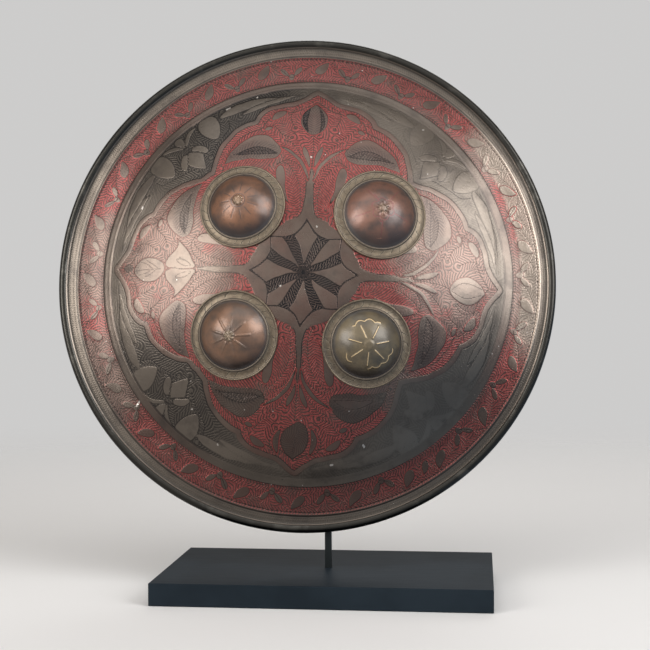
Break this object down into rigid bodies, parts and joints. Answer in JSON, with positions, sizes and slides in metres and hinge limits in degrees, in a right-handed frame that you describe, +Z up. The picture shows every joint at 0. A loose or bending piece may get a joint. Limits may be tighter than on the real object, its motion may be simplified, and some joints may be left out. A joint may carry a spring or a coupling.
{
  "type": "domed shield on display stand",
  "caption": "Round domed steel shield with a rolled edge, an etched floral face and raised bosses, held upright by a bar in a black block.",
  "frame": {"origin": "the middle of the stand base's underside", "axes": "+Z up, the shield's face towards -Y, +X to the right as seen from in front"},
  "size_m": [0.4669, 0.175, 0.5162],
  "materials": {
    "etched_steel": "browned and etched, the etched grounds painted red and black, satin and worn",
    "browned_copper": "copper-brown patina, rubbed bright on the crowns",
    "black_bar": "satin black paint",
    "black_block": "smooth satin black paint"
  },
  "bodies": {
    "root": {"shield_bowl": "etched_steel", "boss_top_left": "browned_copper", "boss_top_right": "browned_copper", "boss_bottom_left": "browned_copper", "boss_bottom_right": "browned_copper", "stand_rod": "black_bar", "stand_base": "black_block"}
  },
  "joints": []
}
